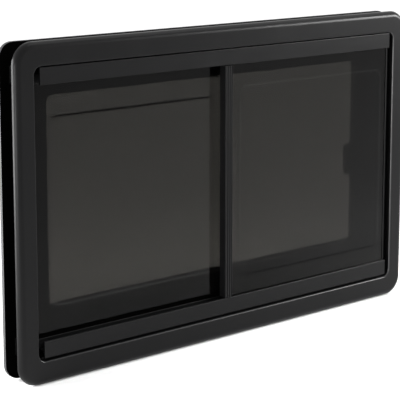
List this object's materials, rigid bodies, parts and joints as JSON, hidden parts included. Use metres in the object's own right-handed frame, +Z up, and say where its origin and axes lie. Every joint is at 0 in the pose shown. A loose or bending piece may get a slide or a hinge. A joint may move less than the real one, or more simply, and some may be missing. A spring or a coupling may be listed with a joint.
{
  "type": "sliding caravan window",
  "caption": "Sliding caravan window with a fixed and a sliding tinted pane in track rails, a black outer flange and a clamping inner frame with blind and fly screen.",
  "frame": {"origin": "on the back face of the outer flange, at the middle of the strip below the neck, where it rests on the outer skin of the wall", "axes": "+X to the right seen from outside, +Y through the wall into the vehicle, +Z up"},
  "size_m": [0.942, 0.099, 0.592],
  "materials": {
    "frame_black": "satin powder coat",
    "rail_black": "satin powder coat",
    "tinted_acrylic": "smoke-tinted clear sheet",
    "black_rubber": "matte",
    "brush_pile": "pile",
    "glider_plastic": "smooth",
    "latch_plastic": "fine grained",
    "pin_steel": "turned",
    "inner_plastic": "fine grained",
    "blind_fabric": "coated weave",
    "screen_mesh": "fine mesh"
  },
  "bodies": {
    "root": {"outer_frame": "frame_black", "top_rail": "rail_black", "bottom_rail": "rail_black", "left_jamb": "rail_black", "right_jamb": "rail_black", "fixed_outer_sheet": "tinted_acrylic", "fixed_inner_sheet": "tinted_acrylic", "fixed_pane_gasket": "black_rubber", "interlock_strip": "rail_black", "sliding_outer_sheet": "tinted_acrylic", "sliding_inner_sheet": "tinted_acrylic", "meeting_stile": "rail_black", "stile_brush": "brush_pile", "closing_edge_strip": "rail_black", "closing_seal": "black_rubber", "top_brush_seal": "brush_pile", "bottom_brush_seal": "brush_pile", "top_gliders": "glider_plastic", "bottom_gliders": "glider_plastic", "travel_stops": "black_rubber", "latch_base": "latch_plastic", "latch_lever": "latch_plastic", "latch_pin": "pin_steel", "latch_keeper": "latch_plastic", "inner_frame": "inner_plastic", "left_guide": "inner_plastic", "left_guide_strips": "inner_plastic", "right_guide": "inner_plastic", "right_guide_strips": "inner_plastic", "blind_cassette": "inner_plastic", "blind_cassette_caps": "inner_plastic", "blind_roll": "blind_fabric", "blind_pull_bar": "inner_plastic", "screen_cassette": "inner_plastic", "screen_cassette_caps": "inner_plastic", "screen_roll": "screen_mesh", "screen_pull_bar": "inner_plastic"}
  },
  "joints": []
}
